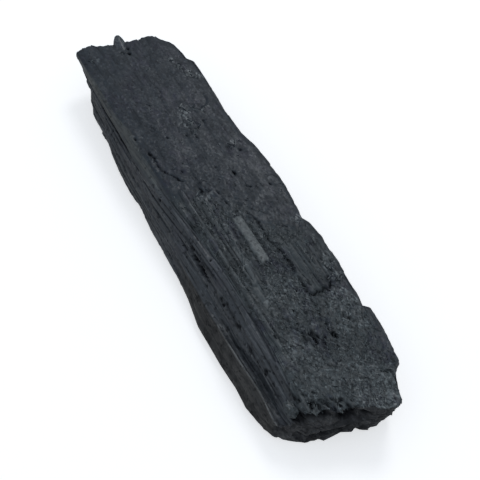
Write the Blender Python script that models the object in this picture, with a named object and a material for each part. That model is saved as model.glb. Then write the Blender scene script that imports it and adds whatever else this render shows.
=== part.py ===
"""A raw log of black tourmaline, lying on its broad underside.

One natural piece: parallel columns grown together along the long axis, with a flat weathered top,
a stepped and striated left flank, and rough broken ends. +X runs along the columns to the near end,
+Y to the plain right flank, +Z up. The origin is the middle of the base.
"""

import math

import bmesh
import bpy
from mathutils import Matrix, Vector, noise

MM = 0.001

# ---- driving dimensions, in millimetres -------------------------------------------------------

THICKNESS = 12.0  # base to top face
MIDDLE = (-0.59, -0.99)  # the middle of the finished log in the tables below, which the origin lies under
NEAR_TOP_DROP = 0.45  # how far the weathered near half of the top lies below the far plate

# Outlines of the log as (x, y) along its length.
TOP_LEFT_EDGE = [
    (-58, -10.4), (-51, -10.6), (-38, -10.7), (-26, -10.3), (-15, -9.8), (-6, -9.6), (3, -8.8),
    (12, -8.2), (24, -8.1), (34, -8.3), (41, -9.0), (46, -10.2), (58, -10.5),
]
TOP_RIGHT_EDGE = [
    (-58, 9.4), (-52, 9.9), (-48.8, 11.3), (-46, 11.7), (-43.4, 11.8), (-41.8, 12.9), (-37, 13.1),
    (-28, 12.7), (-17, 12.6), (-12.5, 13.5), (-4, 13.8), (0, 13.9), (3.5, 13.2), (9.8, 12.1),
    (11.2, 13.6), (16, 13.8), (24, 13.3), (30.5, 12.7), (34, 12.0), (35.6, 13.3), (40, 13.4),
    (46, 12.0), (48.5, 11.4), (49.6, 9.8), (50.6, 9.6), (51.4, 8.6), (55, 8.5), (58, 7.5),
]
FOOT_LEFT = [
    (-58, -9.0), (-51, -9.6), (-48, -10.7), (-45, -11.9), (-36, -12.3), (-31, -13.0), (-24, -13.8), (-20, -14.1),
    (-15, -13.8), (-9, -14.5), (4, -14.7), (11, -15.4), (18, -16.5), (28, -16.7), (34, -16.5),
    (39, -16.9), (43, -16.2), (47, -15.0), (58, -12.0),
]
# Where the log is broken off, as (y, x) across it.
FAR_BREAK = [
    (-14, -50.0), (-11, -56.0), (-10, -57.3), (-8, -57.8), (-6, -57.3), (-3.7, -55.5),
    (0, -54.7), (3.3, -54.0), (7, -54.0), (9, -52.8), (11, -50.0), (11.8, -45.2), (14, -41.0),
]
NEAR_BREAK = [
    (-17, 43.5), (-15, 47.8), (-12, 49.7), (-10, 50.6), (-6, 51.8), (-2, 52.6), (1, 54.0),
    (3.5, 55.7), (6, 56.4), (8.3, 56.1), (9.6, 54.2), (10.8, 51.0), (13, 48.0),
]
FAR_UNDERCUT = 7.5  # how much shorter the base is than the top at the far end
NEAR_UNDERCUT = 2.35  # how much shorter the right of the base is at the near end

# Lines on the left flank as (x, y, z), from the foot up to the top edge.
LOWER_FACE_TOP = [
    (-58, -9.2, 5.0), (-51, -9.9, 5.4), (-48, -11.2, 5.6), (-30, -12.6, 5.6), (-10, -13.5, 5.4), (8, -13.7, 5.8),
    (20, -14.2, 6.2), (29, -14.3, 7.0), (40, -14.2, 7.3), (46, -14.4, 6.6), (58, -12.6, 6.0),
]
GROOVE_FLOOR = [
    (-58, -8.8, 7.4), (-48, -10.0, 8.0), (-36, -10.5, 7.9), (-25, -11.3, 7.6), (-15, -12.6, 6.6),
    (0, -12.4, 7.2), (16, -12.2, 7.0), (27, -12.7, 6.2), (40, -12.6, 6.2), (46, -12.9, 7.1),
    (58, -12.2, 7.2),
]
COLUMN_SHOULDER = [
    (-58, -9.6, 9.0), (-48, -10.8, 9.0), (-36, -11.3, 8.9), (-25, -11.9, 8.9), (-12, -11.9, 8.7),
    (0, -11.3, 9.2), (12, -10.7, 9.6), (24, -11.4, 8.6), (34, -11.8, 8.0), (46, -12.0, 8.2),
    (58, -11.4, 8.2),
]
UPPER_LEDGE = [
    (-58, -10.3, 10.9), (-48, -10.6, 11.2), (-30, -10.9, 11.0), (-12, -10.6, 10.6), (4, -9.7, 10.6),
    (16, -9.1, 10.8), (28, -9.3, 10.2), (40, -10.0, 9.8), (47, -11.0, 9.4), (58, -11.0, 9.0),
]
# The right flank hangs from the top right edge, as (how far out of it, height).
RIGHT_FLANK = [(0.5, 9.6), (0.75, 6.6), (0.1, 3.4), (-1.3, 1.1), (-3.2, 0.0)]
# Grooves that the columns leave along the base, as (share of the way from right to left, height).
BASE_RELIEF = [
    (0.13, 0.0), (0.18, 0.55), (0.31, 0.65), (0.36, 0.0), (0.68, 0.0), (0.73, 0.5), (0.84, 0.4), (0.88, 0.0),
]
FOOT_INSET, FOOT_HEIGHT = 1.5, 1.7

STATION_COUNT = 60  # rings along the log
TOP_STEPS = 13
SIDE_STEPS = 2
CAP_RINGS = 5
CAP_SPINE = (-6.5, 7.0, 5.9)  # each broken end is drawn in to a line from y to y at this height
RELIEF = 0.3  # random in and out of the skin
EDGE_RAGGED = 0.45

# Raised columns and plates, as (name, x start, x end, y, width, height above the skin).
TOP_COLUMNS = [
    ("pale_rib", 3.4, 16.1, 0.35, 1.25, 0.4),
    ("split_rib", -2.5, 9.5, -2.4, 1.1, 0.35),
    ("mid_rib", -3.4, 20.0, -4.3, 1.3, 0.3),
    ("long_rib", -8.0, 36.0, -6.9, 1.1, 0.4),
    ("short_rib", 6.5, 13.5, 2.6, 0.9, 0.3),
    ("front_rib", 20.0, 33.0, -2.0, 0.9, 0.25),
]
FLANK_COLUMNS = [
    # x start, x end, y, z, radius
    (-46.0, -20.0, -11.0, 10.0, 0.75),
    (-30.0, 6.0, -11.2, 9.3, 0.8),
    (-24.0, 30.0, -12.4, 8.0, 0.75),
    (-16.0, 22.0, -10.2, 10.4, 0.6),
    (12.0, 46.5, -10.0, 9.4, 0.75),
    (20.0, 47.5, -11.2, 8.2, 0.7),
    (-4.0, 26.0, -13.4, 6.4, 0.65),
    (8.0, 44.0, -8.9, 10.9, 0.6),
    (-44.0, -26.0, -12.0, 6.4, 0.7),
]
RIGHT_COLUMNS = [
    (-38.0, 4.0, 12.6, 8.6, 0.9),
    (-20.0, 30.0, 13.2, 5.6, 1.0),
    (6.0, 46.0, 12.9, 9.0, 0.9),
    (-44.0, -10.0, 11.9, 4.2, 0.9),
    (20.0, 45.0, 12.2, 3.4, 0.8),
]
# The plate on the right of the near half: its left side steps out, and its near end is jagged.
PLATE_OUTLINE = [
    (11.3, 13.1), (10.2, 10.5), (7.7, 4.2), (12.2, 3.8), (12.6, 4.6), (19.6, 4.9), (20.2, 4.4), (26.8, 4.3),
    (27.7, 4.9), (27.0, 6.0), (27.6, 6.9), (26.8, 7.6), (28.0, 8.3), (26.4, 9.4), (26.9, 10.4), (25.2, 12.6),
]
PLATE_HEIGHT = 0.45
# Broken-out pits on the top as (x, y, length, width, depth).
TOP_PITS = [
    (37.6, 3.8, 1.9, 1.1, 1.8), (36.0, -0.7, 2.3, 1.9, 0.9), (37.8, 0.7, 1.5, 0.6, 0.9),
    (-7.3, 5.6, 1.6, 0.7, 1.0), (-2.9, 6.0, 1.5, 1.1, 0.6), (-5.7, -2.8, 1.7, 1.1, 0.5),
    (-51.2, -0.2, 2.0, 1.6, 0.8), (-27.9, 7.6, 3.4, 3.0, 0.5), (-26.2, -9.4, 1.3, 0.7, 0.8),
]
FLANK_POCKET = (7.3, -10.9, 8.6, 7.0, 1.9, 1.5)  # x, y, z, length, width, depth
END_HOLLOWS = [
    # x, y, z, and the radii along each axis
    (54.6, -0.8, 8.4, 2.6, 2.9, 2.6),
    (51.2, -9.4, 2.0, 1.8, 3.4, 1.0),
    (53.6, -5.6, 7.4, 2.2, 2.0, 1.8),
]
SPIKE = dict(foot=(-53.6, -0.4, 11.1), tip=(-57.4, 0.45, 12.4), foot_radius=1.55, tip_radius=0.4)
CRUMB = (47.4, -11.2, 10.3, 1.15)  # x, y, z and radius of the lump on the near left corner

CRYSTAL_COLOUR = (0.040, 0.046, 0.054, 1.0)


# ---- the form of the log ----------------------------------------------------------------------


def along(line, x):
    """The other coordinates of a line at x, straight between its points."""
    for start, end in zip(line, line[1:]):
        if x <= end[0]:
            break
    share = min(1.0, max(0.0, (x - start[0]) / (end[0] - start[0])))
    values = [a + (b - a) * share for a, b in zip(start[1:], end[1:])]
    return values if len(values) > 1 else values[0]


def smooth_step(low, high, value):
    share = min(1.0, max(0.0, (value - low) / (high - low)))
    return share * share * (3 - 2 * share)


def top_height(x, y):
    """The height of the top face: a flat far plate, and the near half weathered down in a step."""
    boundary = along([(-12, -12), (-8, -9), (-5, -4), (-3, 0), (3, 2.5), (8, 4.2), (13, 12)], x)
    lowered = smooth_step(-0.4, 0.4, boundary - y)
    crown = 0.25 * (1 - ((y - 2) / 12) ** 2)
    tilt = 0.15 * smooth_step(30, 55, x)
    return THICKNESS - 0.25 + crown - NEAR_TOP_DROP * lowered - tilt


def section(x):
    """The corners of the log's cross-section at x as (y, z), round from the top left edge."""
    left, right, foot = along(TOP_LEFT_EDGE, x), along(TOP_RIGHT_EDGE, x), along(FOOT_LEFT, x)
    shoulder = [(left, top_height(x, left) - 0.35), (right, top_height(x, right) - 0.4)]
    flank = [(right + out, height) for out, height in RIGHT_FLANK]
    feet = [(foot + FOOT_INSET, 0.0), (foot, FOOT_HEIGHT)]
    base_start, base_width = flank[-1][0], feet[0][0] - flank[-1][0]
    base = [(base_start + base_width * share, height) for share, height in BASE_RELIEF]
    lines = [along(line, x) for line in (LOWER_FACE_TOP, GROOVE_FLOOR, COLUMN_SHOULDER, UPPER_LEDGE)]
    return shoulder + flank + base + feet + [tuple(point) for point in lines]


def side_steps():
    """How many faces each side of the section is cut into."""
    right_flank = [2, 2, 2, 1, 1]
    base = [1] * (len(BASE_RELIEF) + 1)
    left_flank = [1, SIDE_STEPS, SIDE_STEPS, 1, SIDE_STEPS, 1]
    return [TOP_STEPS] + right_flank + base + left_flank


def ring(x):
    """The section at x as evenly cut points (y, z), with the top following top_height."""
    corners = section(x)
    points = []
    for number, steps in enumerate(side_steps()):
        start, end = corners[number], corners[(number + 1) % len(corners)]
        for step in range(steps):
            share = step / steps
            y = start[0] + (end[0] - start[0]) * share
            z = start[1] + (end[1] - start[1]) * share
            if number == 0 and step:
                z = top_height(x, y)
            points.append((y, z))
    return points


def far_break(y, z):
    under = 1 - min(1.0, z / THICKNESS)
    ragged = EDGE_RAGGED * noise.noise(Vector((y * 0.55, z * 0.6, 3.1)))
    return along(FAR_BREAK, y) + FAR_UNDERCUT * under**1.4 + ragged


def near_break(y, z):
    under = 1 - min(1.0, z / THICKNESS)
    ragged = EDGE_RAGGED * noise.noise(Vector((y * 0.6, z * 0.7, 8.3)))
    right_side = smooth_step(-6, 1, y)
    return along(NEAR_BREAK, y) - NEAR_UNDERCUT * under * right_side + ragged


def skin_noise(x, y, z):
    """How far the skin stands in or out here: long along the columns, short across them."""
    return RELIEF * noise.noise(Vector((x * 0.09, y * 0.42, z * 0.42)))


def skin_point(x, y, z):
    """A point of the skin with its roughness, which leaves the flat of the base alone."""
    if z < 0.01:
        return Vector((x, y, z))
    outward = Vector((0.0, y / 14.0, (z - THICKNESS / 2) / (THICKNESS / 2)))
    outward.normalize()
    lift = min(1.0, z / 2.0)
    return Vector((x, y, z)) + outward * skin_noise(x, y, z) * lift


def stations():
    """Rings of points from the far break to the near break. Each column starts and ends where it is broken."""
    starts = [far_break(y, z) for y, z in ring(-50)]
    ends = [near_break(y, z) for y, z in ring(49)]
    rings = []
    for number in range(STATION_COUNT):
        share = number / (STATION_COUNT - 1)
        places = [start + (end - start) * share for start, end in zip(starts, ends)]
        sections = {x: ring(x) for x in set(places)}
        rings.append([skin_point(x, *sections[x][i]) for i, x in enumerate(places)])
    return rings


def cap_rings(rim, break_at):
    """Rings that close an end, drawn in towards the line through its middle along the broken face."""
    left, right, height = CAP_SPINE
    rings = []
    for number in range(1, CAP_RINGS + 1):
        share = number / (CAP_RINGS + 0.6)
        drawn = []
        for point in rim:
            y = point.y + (min(right, max(left, point.y)) - point.y) * share
            z = point.z + (height - point.z) * share
            drawn.append(Vector((break_at(y, z), y, z)))
        rings.append(drawn)
    return rings


def log_body():
    """The whole log as one closed skin, lofted ring by ring."""
    rings = stations()
    far_cap = cap_rings(rings[0], far_break)
    near_cap = cap_rings(rings[-1], near_break)
    rings = far_cap[::-1] + rings + near_cap
    mesh = bmesh.new()
    loops = [[mesh.verts.new(point) for point in points] for points in rings]
    for first, second in zip(loops, loops[1:]):
        for i in range(len(first)):
            after = (i + 1) % len(first)
            mesh.faces.new((first[i], second[i], second[after], first[after]))
    mesh.faces.new(loops[0])
    mesh.faces.new(reversed(loops[-1]))
    bmesh.ops.triangulate(mesh, faces=mesh.faces)
    bmesh.ops.recalc_face_normals(mesh, faces=mesh.faces)
    return mesh


# ---- columns, plates and pits -----------------------------------------------------------------


def new_object(name, mesh, collection):
    """A bmesh made into an object, moved over the origin and brought from millimetres to metres."""
    bmesh.ops.translate(mesh, vec=(-MIDDLE[0], -MIDDLE[1], 0.0), verts=mesh.verts)
    bmesh.ops.scale(mesh, vec=(MM, MM, MM), verts=mesh.verts)
    data = bpy.data.meshes.new(name)
    mesh.to_mesh(data)
    mesh.free()
    obj = bpy.data.objects.new(name, data)
    collection.objects.link(obj)
    return obj


def column(x_start, x_end, y, z, radius, seed):
    """A six-sided column along X whose ends are broken off askew."""
    mesh = bmesh.new()
    bmesh.ops.create_cone(
        mesh, cap_ends=True, segments=6, radius1=radius, radius2=radius * 0.82, depth=x_end - x_start
    )
    bmesh.ops.rotate(mesh, matrix=Matrix.Rotation(math.radians(90), 3, "Y"), verts=mesh.verts)
    bmesh.ops.translate(mesh, vec=((x_start + x_end) / 2, y, z), verts=mesh.verts)
    for vert in mesh.verts:
        vert.co.x += 1.1 * noise.noise(Vector((seed, vert.co.y * 1.7, vert.co.z * 1.7)))
    return mesh


def top_column(x_start, x_end, y, width, height):
    """A flat-topped rib let into the top face."""
    mesh = bmesh.new()
    bmesh.ops.create_cube(mesh, size=1.0)
    depth = 2.0 + height
    bmesh.ops.scale(mesh, vec=(x_end - x_start, width, depth), verts=mesh.verts)
    middle = (x_start + x_end) / 2
    rise = top_height(middle, y) + height - depth / 2
    bmesh.ops.translate(mesh, vec=(middle, y, rise), verts=mesh.verts)
    for vert in mesh.verts:
        if vert.co.z > rise:
            vert.co.z = top_height(vert.co.x, y) + height
            vert.co.x += 0.5 * noise.noise(Vector((vert.co.x, vert.co.y * 3, 1.7)))
    return mesh


def plate():
    """The raised plate on the right: a flat outline given a thickness."""
    curve = bpy.data.curves.new("plate_outline", "CURVE")
    curve.dimensions = "2D"
    curve.fill_mode = "BOTH"
    curve.extrude = 1.0
    spline = curve.splines.new("POLY")
    spline.points.add(len(PLATE_OUTLINE) - 1)
    for point, (x, y) in zip(spline.points, PLATE_OUTLINE):
        point.co = (x, y, 0.0, 1.0)
    spline.use_cyclic_u = True
    outline = bpy.data.objects.new("plate_outline", curve)
    bpy.context.scene.collection.objects.link(outline)
    graph = bpy.context.evaluated_depsgraph_get()
    flat = bpy.data.meshes.new_from_object(outline.evaluated_get(graph))
    bpy.data.objects.remove(outline)
    mesh = bmesh.new()
    mesh.from_mesh(flat)
    bpy.data.meshes.remove(flat)
    bmesh.ops.remove_doubles(mesh, verts=mesh.verts, dist=0.001)
    bmesh.ops.recalc_face_normals(mesh, faces=mesh.faces)
    top = THICKNESS - NEAR_TOP_DROP + PLATE_HEIGHT
    bmesh.ops.translate(mesh, vec=(0, 0, top - curve.extrude), verts=mesh.verts)
    return mesh


def hollow(x, y, z, along_x, along_y, along_z, seed):
    """A lumpy ball to be cut out, or with a small size a lump to be added."""
    mesh = bmesh.new()
    bmesh.ops.create_icosphere(mesh, subdivisions=2, radius=1.0)
    for vert in mesh.verts:
        vert.co *= 1 + 0.28 * noise.noise(vert.co * 1.4 + Vector((seed, 0, seed)))
    bmesh.ops.scale(mesh, vec=(along_x, along_y, along_z), verts=mesh.verts)
    bmesh.ops.translate(mesh, vec=(x, y, z), verts=mesh.verts)
    return mesh


def spike():
    """The small pointed crystal that stands out over the far edge."""
    foot, tip = Vector(SPIKE["foot"]), Vector(SPIKE["tip"])
    mesh = bmesh.new()
    bmesh.ops.create_cone(
        mesh, cap_ends=True, segments=7, radius1=SPIKE["foot_radius"], radius2=SPIKE["tip_radius"],
        depth=(tip - foot).length,
    )
    turn = (tip - foot).to_track_quat("Z", "Y").to_matrix()
    bmesh.ops.rotate(mesh, matrix=turn, verts=mesh.verts)
    bmesh.ops.translate(mesh, vec=(foot + tip) / 2, verts=mesh.verts)
    return mesh


def added_pieces(collection):
    """Everything that is grown onto the log."""
    for number, (x_start, x_end, y, z, radius) in enumerate(FLANK_COLUMNS + RIGHT_COLUMNS):
        new_object(f"column_{number + 1}", column(x_start, x_end, y, z, radius, number * 2.3), collection)
    for name, *sizes in TOP_COLUMNS:
        new_object(name, top_column(*sizes), collection)
    new_object("plate", plate(), collection)
    new_object("spike", spike(), collection)
    x, y, z, radius = CRUMB
    new_object("crumb", hollow(x, y, z, radius, radius, radius * 0.9, 4.0), collection)


def cut_pieces(collection):
    """Everything that is broken out of the log."""
    for number, (x, y, length, width, depth) in enumerate(TOP_PITS):
        sizes = (length / 2, width / 2, depth)
        new_object(f"pit_{number + 1}", hollow(x, y, top_height(x, y) + 0.1, *sizes, number + 0.5), collection)
    x, y, z, length, width, depth = FLANK_POCKET
    new_object("pocket", hollow(x, y, z, length / 2, width / 2, depth, 9.1), collection)
    for number, sizes in enumerate(END_HOLLOWS):
        new_object(f"end_hollow_{number + 1}", hollow(*sizes, number + 20.0), collection)


# ---- putting it together ----------------------------------------------------------------------


def new_collection(name):
    collection = bpy.data.collections.new(name)
    bpy.context.scene.collection.children.link(collection)
    return collection


def combine(obj, collection, operation):
    """One Boolean of everything in the collection with the log."""
    for helper in collection.objects:
        helper.hide_render = True
        helper.display_type = "WIRE"
    modifier = obj.modifiers.new(operation.lower(), "BOOLEAN")
    modifier.operand_type = "COLLECTION"
    modifier.collection = collection
    modifier.operation = operation
    modifier.solver = "EXACT"


def tourmaline_material():
    material = bpy.data.materials.new("black_tourmaline")
    material.use_nodes = True
    shader = material.node_tree.nodes["Principled BSDF"]
    shader.inputs["Base Color"].default_value = CRYSTAL_COLOUR
    shader.inputs["Roughness"].default_value = 0.5
    shader.inputs["Metallic"].default_value = 0.0
    return material


def main():
    for old in list(bpy.data.objects):
        bpy.data.objects.remove(old)
    part = new_collection("tourmaline_crystal_part")
    crystal = new_object("tourmaline_crystal", log_body(), part)
    crystal.data.materials.append(tourmaline_material())
    grown, cutters = new_collection("grown_on"), new_collection("cutters")
    added_pieces(grown)
    cut_pieces(cutters)
    combine(crystal, grown, "UNION")
    combine(crystal, cutters, "DIFFERENCE")


main()
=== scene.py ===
"""A raw log of black tourmaline, lying on its broad underside on a pale studio floor.

The log is one skin of columns grown together along X. Its sections, broken ends, ribs, plate, pits
and spike are given in millimetres and made into meshes in metres. Short splinters cover the
weathered half of its top, as the felted grain of the real mineral does, and broader ones its light
spots, which mix wear with painted glints.
"""

from types import SimpleNamespace

import bmesh
import bpy
import numpy as np
from mathutils import Matrix, Vector, noise


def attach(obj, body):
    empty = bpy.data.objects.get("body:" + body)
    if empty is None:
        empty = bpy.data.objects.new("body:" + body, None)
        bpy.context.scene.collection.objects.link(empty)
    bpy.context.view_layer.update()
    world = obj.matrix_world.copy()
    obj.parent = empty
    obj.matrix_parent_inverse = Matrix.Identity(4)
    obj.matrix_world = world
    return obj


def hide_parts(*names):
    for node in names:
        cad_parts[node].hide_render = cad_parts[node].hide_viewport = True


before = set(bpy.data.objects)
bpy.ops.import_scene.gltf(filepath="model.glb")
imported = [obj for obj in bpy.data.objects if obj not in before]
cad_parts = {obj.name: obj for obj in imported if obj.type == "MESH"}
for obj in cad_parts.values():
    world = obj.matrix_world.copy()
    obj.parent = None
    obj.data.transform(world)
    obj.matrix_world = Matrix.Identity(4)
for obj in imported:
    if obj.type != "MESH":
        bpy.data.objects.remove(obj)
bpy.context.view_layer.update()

MM = 0.001
NODE = "tourmaline_crystal"

# ---- the form of the log, in millimetres ------------------------------------------------------

THICKNESS = 12.0
MIDDLE = (-0.59, -0.99)  # the point of the tables below that lies over the origin
NEAR_TOP_DROP = 0.45  # how far the weathered near half of the top lies below the far plate

TOP_LEFT_EDGE = [
    (-58, -10.4), (-51, -10.6), (-38, -10.7), (-26, -10.3), (-15, -9.8), (-6, -9.6), (3, -8.8),
    (12, -8.2), (24, -8.1), (34, -8.3), (41, -9.0), (46, -10.2), (58, -10.5),
]
TOP_RIGHT_EDGE = [
    (-58, 9.5), (-52, 10.0), (-48.8, 11.5), (-46, 11.9), (-43.4, 12.0), (-41.8, 13.0), (-37, 13.1),
    (-28, 12.4), (-17, 12.4), (-12.5, 13.2), (-4, 13.7), (0, 14.1), (3.5, 13.3), (9.8, 12.3),
    (11.6, 13.2), (16, 13.6), (24, 12.9), (30.5, 12.7), (34, 12.1), (35.6, 13.4), (40, 12.9),
    (46, 12.1), (48.3, 11.8), (49.1, 10.2), (51, 9.4), (53, 9.0), (54.8, 8.5), (56.1, 7.7), (58, 6.0),
]
FOOT_LEFT = [
    (-58, -9.0), (-51, -9.6), (-48, -10.7), (-45, -11.9), (-36, -12.3), (-31, -13.0), (-24, -13.8),
    (-20, -14.1), (-15, -13.8), (-9, -14.5), (4, -14.7), (11, -15.4), (18, -16.5), (28, -16.7),
    (34, -16.5), (39, -16.9), (43, -16.2), (47, -15.0), (58, -12.0),
]
FAR_BREAK = [
    (-14, -50.0), (-11, -56.0), (-10, -57.3), (-8, -57.8), (-6, -57.3), (-3.7, -55.5),
    (0, -54.7), (3.3, -54.0), (7, -54.0), (9, -52.8), (11, -50.0), (11.8, -45.2), (14, -41.0),
]
NEAR_BREAK = [
    (-17, 42.0), (-15.6, 44.6), (-14.7, 46.2), (-13, 47.9), (-12, 48.9), (-10, 50.4), (-6, 51.8),
    (-2, 52.6), (1, 54.0), (3.5, 55.7), (6, 56.6), (7.6, 56.2), (8.6, 54.8), (9.6, 52.8),
    (10.8, 50.0), (13, 47.0),
]
BREAK_SAMPLES = (-50.0, 49.0)  # the x at which each line of the skin is read for the two breaks
FAR_UNDERCUT = 7.5
NEAR_UNDERCUT = [(-6, 0.0), (-3, 0.5), (0, 0.9), (3, 1.7), (4.5, 2.4), (8, 3.0), (11, 3.2)]

# Lines on the left flank as (x, y, z), from the foot up to the top edge.
LOWER_FACE_TOP = [
    (-58, -9.2, 5.0), (-51, -9.9, 5.4), (-48, -11.2, 5.6), (-30, -12.6, 5.6), (-10, -13.5, 5.4),
    (8, -13.7, 5.8), (20, -14.2, 6.2), (29, -14.3, 7.0), (40, -14.2, 7.3), (46, -14.4, 6.6),
    (58, -12.6, 6.0),
]
GROOVE_FLOOR = [
    (-58, -8.8, 7.4), (-48, -10.0, 8.0), (-36, -10.5, 7.9), (-25, -11.3, 7.6), (-15, -12.6, 6.6),
    (0, -12.4, 7.2), (16, -12.2, 7.0), (27, -12.7, 6.2), (40, -12.6, 6.2), (46, -12.9, 7.1),
    (58, -12.2, 7.2),
]
COLUMN_SHOULDER = [
    (-58, -9.6, 9.0), (-48, -10.9, 8.8), (-36, -11.7, 8.6), (-25, -12.2, 8.6), (-12, -12.0, 8.7),
    (0, -11.3, 9.2), (12, -10.7, 9.6), (24, -11.4, 8.6), (34, -11.8, 8.0), (46, -12.0, 8.2),
    (58, -11.4, 8.2),
]
UPPER_LEDGE = [
    (-58, -10.2, 10.9), (-51, -10.6, 10.6), (-43, -11.0, 10.2), (-38, -11.3, 10.0), (-30, -11.5, 9.9),
    (-22, -11.6, 9.9), (-12, -11.0, 10.2), (4, -9.8, 10.6), (16, -9.1, 10.8), (28, -9.3, 10.2),
    (40, -10.0, 9.8), (47, -11.0, 9.4), (58, -11.0, 9.0),
]
# How far the light strip of the left flank reaches over the edge of the top, as (x, width).
STRIP_WIDTH = [
    (-58, 0.3), (-51, 0.5), (-45, 0.8), (-38, 0.6), (-32, 0.7), (-28, 0.9), (-22, 0.5), (-15, 0.1),
]
# The right flank hangs from the top right edge, as (how far out of it, height).
RIGHT_FLANK = [(0.5, 9.6), (0.75, 6.6), (0.1, 3.4), (-1.3, 1.1), (-3.2, 0.0)]
CALM_REACH = (-7, -4.5, -2, 0, 2, 4.5, 7)  # the edge is averaged over these shifts to calm its notches
NOTCH_FADE = (11, 6.5)  # between these heights the notches of the edge fade out down the flank
# Grooves along the base, as (share of the way from right to left, height).
BASE_RELIEF = [
    (0.13, 0.0), (0.18, 0.55), (0.31, 0.65), (0.36, 0.0),
    (0.68, 0.0), (0.73, 0.5), (0.84, 0.4), (0.88, 0.0),
]
FOOT_INSET, FOOT_HEIGHT = 1.5, 1.7
WAVE_HEIGHT = 0.3  # the slow waves of the whole skin
TOP_WAVE_SHARE = 0.35  # how much of those waves the flat top keeps
EDGE_RAGGED = 0.45  # how far the broken ends stray from their lines
CROWN, CROWN_MIDDLE, CROWN_REACH = 0.25, 2, 12  # the slight bulge across the top
NEAR_TILT = 0.15  # how far the top falls towards the near end
LEFT_EDGE_DROP, LEFT_EDGE_REACH = 0.35, 1.0  # how the top rounds off into its left edge
RIGHT_EDGE_DROP, RIGHT_EDGE_REACH = 0.4, 1.6

# ---- how finely the skin is cut ---------------------------------------------------------------

STATIONS = 400  # rings along the log
TOP_FACES = 92
TOP_STRAIGHT = (12, 62, -7.5, 8.0)  # faces before, faces in and the span of the straight middle
RIGHT_FACES = [8, 10, 11, 9, 7]
BASE_FACES = [3] * (len(BASE_RELIEF) + 1)
LEFT_FACES = [7, 19, 8, 8, 10, 5]
CAP_RINGS = 24
CAP_SPINE = (-6.5, 7.0, 5.9)  # from y to y at a height: the line that an end's rings draw in to

# Fields of columns, as seed, widths and lengths in faces, relief, and depth of the gaps.
TOP_THREADS = (71, (2, 4), (10, 70), 0.08, 0.18)
LEFT_COLUMNS = (51, (2, 7), (8, 80), 0.18, 0.20)
RIGHT_COLUMNS = (61, (2, 6), (10, 90), 0.24, 0.34)

# ---- what stands on the top and is broken out of it -------------------------------------------

# Where the weathered half of the top begins, as (x, y): it lies to the left of this line.
WEATHERED_LINE = [(-12, -12), (-8, -9), (-5, -4), (-3, 0), (3, 2.5), (8, 4.2), (13, 12)]
TOP_COLUMNS = [
    # name, x start, x end, y, width, height above the skin
    ("pale_rib", 3.3, 16.3, 0.35, 2.1, 0.4),
    ("split_rib", -2.5, 9.5, -2.4, 1.1, 0.35),
    ("mid_rib", -3.4, 20.0, -3.9, 1.9, 0.28),
    ("long_rib", -8.0, 36.0, -6.9, 1.1, 0.4),
    ("short_rib", 6.5, 13.5, 2.6, 0.9, 0.3),
    ("front_rib", 20.0, 33.0, -2.0, 0.9, 0.25),
]
PLATE_OUTLINE = [
    (11.3, 15.5), (10.2, 10.5), (7.7, 4.2), (12.2, 3.8), (12.6, 4.6), (19.6, 4.9),
    (20.2, 4.4), (26.8, 4.3), (27.7, 4.9), (27.0, 6.0), (27.6, 6.9), (26.8, 7.6),
    (28.0, 8.3), (26.4, 9.4), (26.9, 10.4), (25.2, 15.5),
]
PLATE_HEIGHT = 0.45
TOP_PITS = [
    # x, y, length, width, depth
    (37.6, 3.8, 1.9, 1.1, 1.8), (38.0, 1.2, 1.5, 0.5, 0.6), (35.0, -1.7, 1.5, 0.6, 0.45),
    (36.4, 0.7, 1.2, 0.5, 0.5), (36.9, -0.2, 1.8, 0.5, 0.6), (35.1, -0.5, 0.9, 0.5, 0.5),
    (-7.3, 5.5, 1.3, 0.55, 0.7), (-2.9, 6.2, 0.8, 0.4, 0.22), (-6.2, -3.0, 1.4, 0.9, 0.4),
    (-51.5, -0.6, 0.9, 0.7, 0.6), (-50.5, 0.8, 0.9, 0.6, 0.6), (-52.2, 1.2, 0.7, 0.7, 0.5),
    (-26.4, -9.3, 0.9, 0.45, 0.4), (-0.9, 0.2, 1.2, 0.4, 0.35), (-4.0, -0.1, 1.2, 0.4, 0.35),
]
SCALLOP = (-30.4, 8.0, 6.2, 5.0, 0.26)  # x, y, length, width, depth of a shell-shaped chip
# Where the top is paler, from wear and painted glints, as (x, y, radius, share).
WEAR_AND_GLINT_PATCHES = [
    (-43.9, 8.7, 1.0, 0.9), (-41.6, 9.4, 1.2, 1.0), (-38.9, 10.4, 1.4, 1.0), (-36.8, 12.2, 1.3, 1.0),
    (-28.0, 4.1, 2.0, 0.7), (-24.8, 3.7, 1.8, 0.7), (-22.0, 3.4, 1.5, 0.5), (-14.8, 9.3, 1.2, 0.6),
    (-4.9, -2.8, 1.6, 0.5), (22.7, 11.8, 1.7, 0.8), (26.0, 11.2, 1.5, 0.9), (31.5, 9.2, 3.2, 0.8),
    (23.9, -0.6, 4.5, 0.35), (28.5, 1.5, 3.0, 0.3), (37.6, -5.0, 4.0, 0.4), (46.5, -6.0, 2.0, 0.5),
    (46.0, 1.0, 4.0, 0.3), (53.0, 5.6, 4.6, 1.0), (49.4, 6.6, 3.6, 1.0), (42.5, -2.5, 3.5, 0.35),
    (50.6, 1.8, 2.6, 0.6), (46.5, -2.0, 2.4, 0.3), (54.6, 7.8, 2.0, 1.0), (29.9, 10.8, 1.6, 0.9),
    (-43.9, 2.7, 0.5, 0.6), (-52.3, -7.1, 0.9, 0.35), (37.0, 8.5, 3.6, 0.4), (9.5, 11.5, 1.3, 0.6),
    (20.5, 12.0, 1.2, 0.7),
]
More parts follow.
